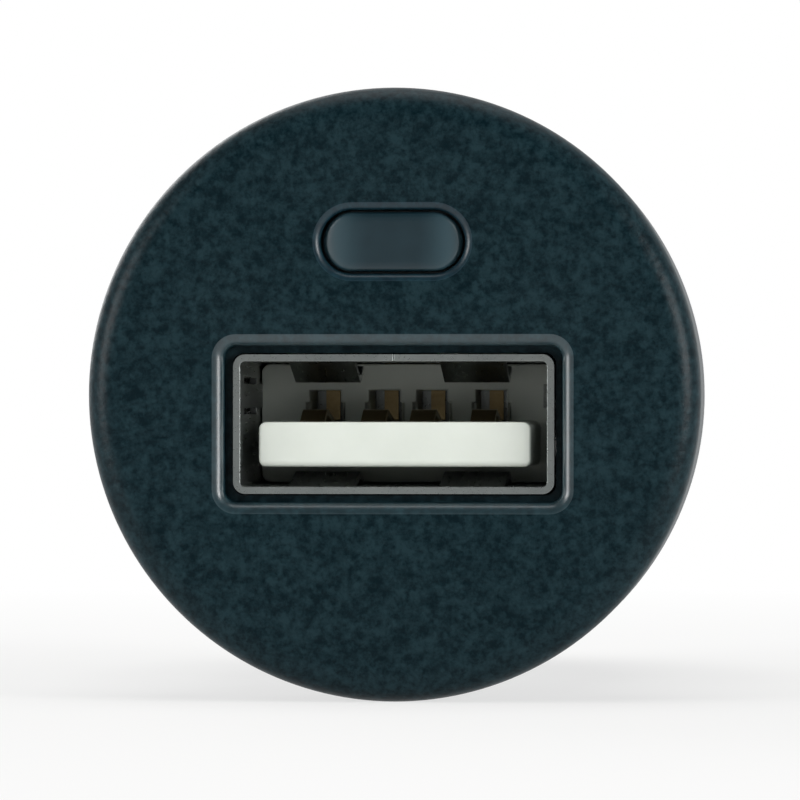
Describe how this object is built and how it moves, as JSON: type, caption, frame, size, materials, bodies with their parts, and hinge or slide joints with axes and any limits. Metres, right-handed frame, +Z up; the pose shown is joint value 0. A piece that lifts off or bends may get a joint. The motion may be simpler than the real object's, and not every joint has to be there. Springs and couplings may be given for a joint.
{
  "type": "car usb charger plug",
  "caption": "Round-headed charger plug for a 12 volt vehicle socket, with a USB-A port and an indicator window in its face, sprung side contacts and a sprung tip.",
  "frame": {"origin": "on the plug's axis, in the plane of the flange's back, which rests on the rim of the vehicle socket", "axes": "+Y along the axis from the face to the sprung tip, +Z up with the port's tongue at the bottom and the indicator above the port, +X to the right seen from the face"},
  "size_m": [0.025, 0.047, 0.025],
  "materials": {
    "black_abs": "fine spark-eroded grain",
    "smoke_lens": "smooth smoked polycarbonate",
    "nickel_brass": "nickel plated",
    "spring_steel": "rolled strip",
    "shell_steel": "tin plated sheet",
    "white_pbt": "moulded",
    "gold_plate": "gold flashed",
    "board_laminate": "green solder mask",
    "clear_epoxy": "clear moulding",
    "mould_compound": "black epoxy",
    "ferrite": "sintered",
    "enamelled_copper": "enamelled",
    "capacitor_sleeve": "dark sleeve",
    "chip_ceramic": "fired"
  },
  "bodies": {
    "housing": {"face_cap": "black_abs", "indicator_lens": "smoke_lens", "barrel": "black_abs", "nose_ring": "black_abs", "tip_spring": "spring_steel", "spring_seat": "nickel_brass", "usb_shell": "shell_steel", "usb_insulator": "white_pbt", "usb_contact_1": "gold_plate", "usb_contact_2": "gold_plate", "usb_contact_3": "gold_plate", "usb_contact_4": "gold_plate", "circuit_board": "board_laminate", "indicator_led": "clear_epoxy", "converter_chip": "mould_compound", "inductor_core": "ferrite", "inductor_coil": "enamelled_copper", "input_capacitor": "capacitor_sleeve", "output_capacitor": "capacitor_sleeve", "rectifier_diode": "mould_compound", "fuse": "chip_ceramic", "resistor_1": "mould_compound", "resistor_2": "mould_compound", "resistor_3": "mould_compound", "ceramic_capacitor_1": "chip_ceramic", "ceramic_capacitor_2": "chip_ceramic"},
    "tip": {"tip_contact": "nickel_brass"},
    "left_contact": {"side_contact_left": "spring_steel"},
    "right_contact": {"side_contact_right": "spring_steel"}
  },
  "joints": [
    {"name": "tip_press", "type": "slide", "parent": "housing", "child": "tip", "axis": [0, -1, 0], "range_m": [0, 0.0025], "stiffness_N_per_m": 800, "deforming": ["tip_spring"]},
    {"name": "left_contact_press", "type": "hinge", "parent": "housing", "child": "left_contact", "pos_m": [-0.00879, 0.004, 0], "axis": [0, 0, -1], "range_deg": [0, 6], "stiffness_Nm_per_rad": 0.2},
    {"name": "right_contact_press", "type": "hinge", "parent": "housing", "child": "right_contact", "pos_m": [0.00879, 0.004, 0], "axis": [0, 0, 1], "range_deg": [0, 6], "stiffness_Nm_per_rad": 0.2}
  ]
}
